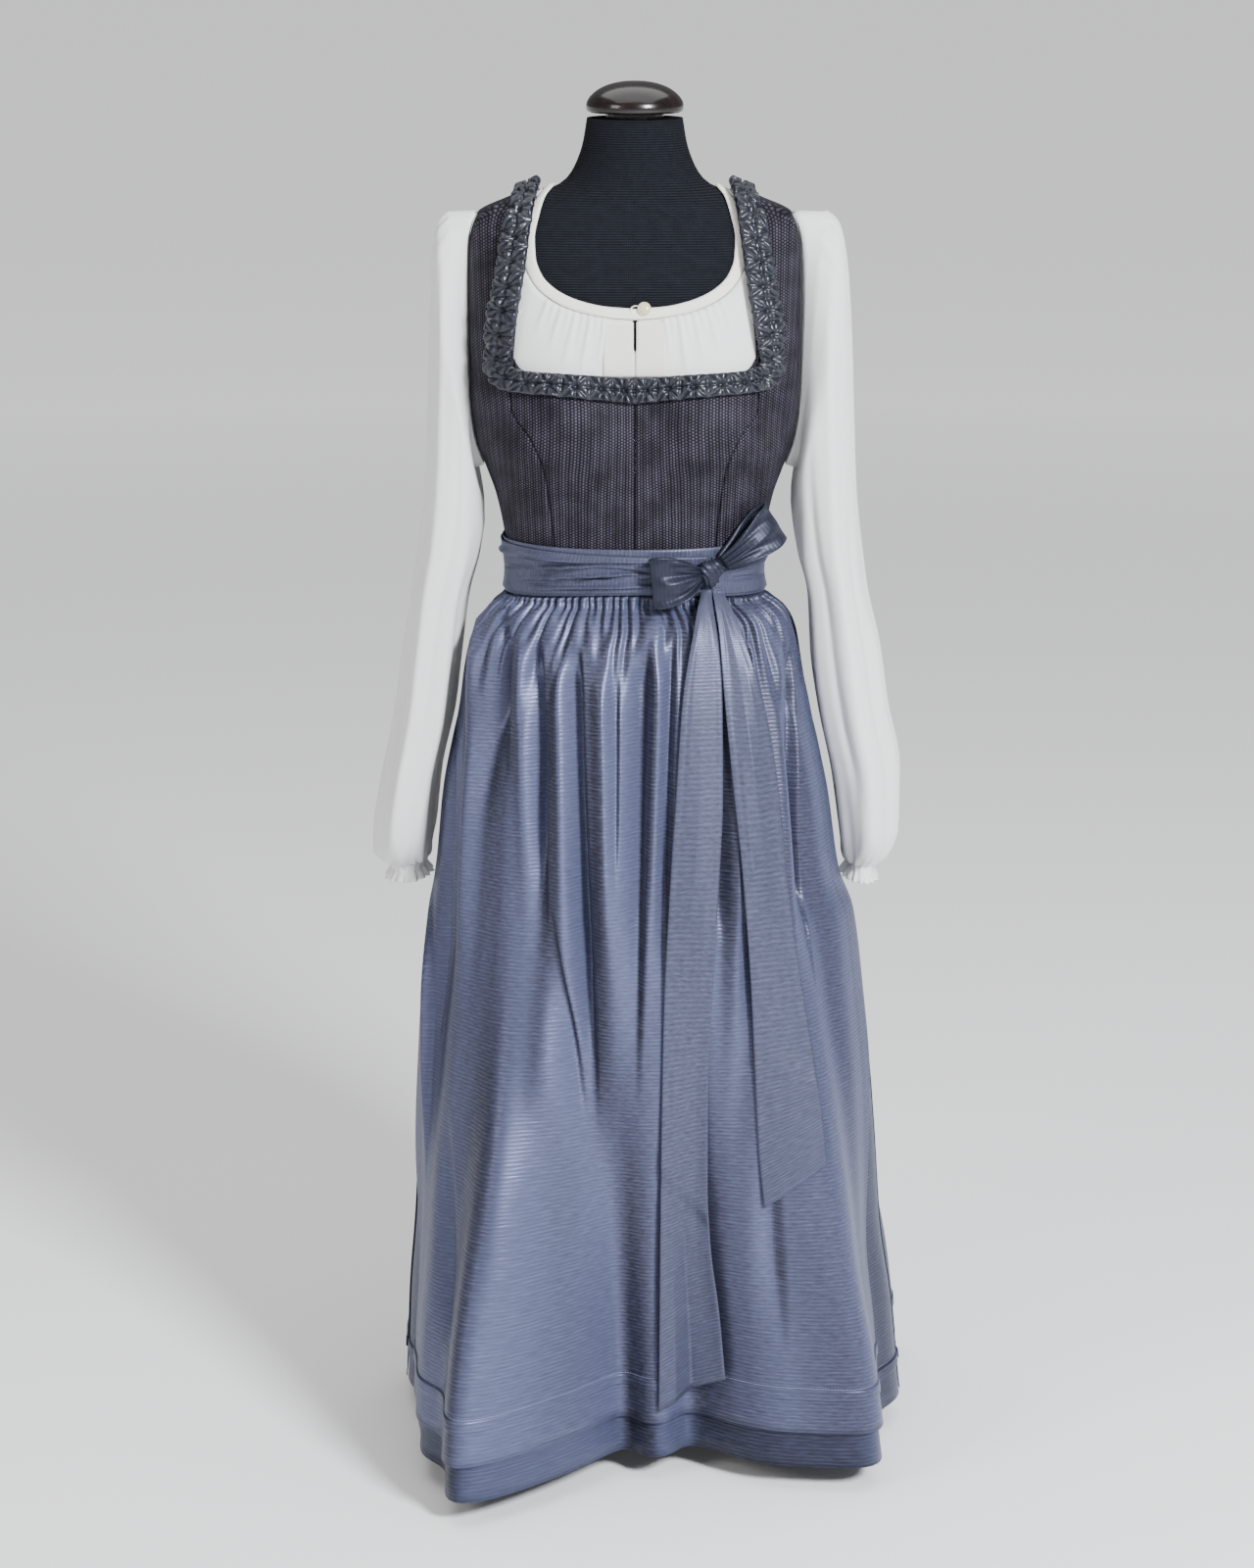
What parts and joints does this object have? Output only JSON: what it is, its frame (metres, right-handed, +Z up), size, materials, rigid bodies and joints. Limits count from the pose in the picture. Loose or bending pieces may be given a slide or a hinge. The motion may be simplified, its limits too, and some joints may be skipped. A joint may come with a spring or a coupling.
{
  "type": "dirndl on dress form",
  "caption": "Long dirndl with apron tied in a side bow, ruched square neckline and long-sleeved blouse, worn by a limbless dress form on a low stand.",
  "frame": {"origin": "on the underside of the stand's foot, on the pole's axis", "axes": "+Z up along the pole, front of the garment faces -Y, +X is the wearer's left"},
  "size_m": [0.5764, 0.6084, 1.448],
  "materials": {
    "apron_cloth": "blue-grey changeant taffeta with fine ribs, soft sheen",
    "blouse_cloth": "cream-white crepe, matt",
    "bodice_cloth": "dark purple-grey jacquard in upright columns, matt",
    "dark_wood": "dark lacquered turned wood",
    "jersey": "black knit jersey, matt",
    "pearl": "pearl button, glossy",
    "skirt_cloth": "blue-grey changeant taffeta with fine ribs, soft sheen",
    "stand_metal": "dark satin paint",
    "trim_cloth": "dark slate satin, gathered"
  },
  "bodies": {
    "root": {"apron_band": "apron_cloth", "apron_bow_loop_left": "apron_cloth", "apron_bow_loop_right": "apron_cloth", "apron_knot": "apron_cloth", "apron_panel": "apron_cloth", "apron_tail_long": "apron_cloth", "apron_tail_short": "apron_cloth", "apron_tie_wrap": "apron_cloth", "blouse_back": "blouse_cloth", "blouse_button": "pearl", "blouse_cuff_left": "blouse_cloth", "blouse_cuff_right": "blouse_cloth", "blouse_front": "blouse_cloth", "blouse_neckband_back": "blouse_cloth", "blouse_neckband_front": "blouse_cloth", "blouse_placket_left": "blouse_cloth", "blouse_placket_right": "blouse_cloth", "blouse_sleeve_left": "blouse_cloth", "blouse_sleeve_right": "blouse_cloth", "bodice_back": "bodice_cloth", "bodice_front_left": "bodice_cloth", "bodice_front_right": "bodice_cloth", "bodice_side_back_left": "bodice_cloth", "bodice_side_back_right": "bodice_cloth", "bodice_side_front_left": "bodice_cloth", "bodice_side_front_right": "bodice_cloth", "form_cap": "dark_wood", "form_foot": "stand_metal", "form_neck_plate": "dark_wood", "form_pole": "stand_metal", "form_torso": "jersey", "neckline_ruching_back": "trim_cloth", "neckline_ruching_front": "trim_cloth", "skirt_back": "skirt_cloth", "skirt_front": "skirt_cloth"}
  },
  "joints": []
}
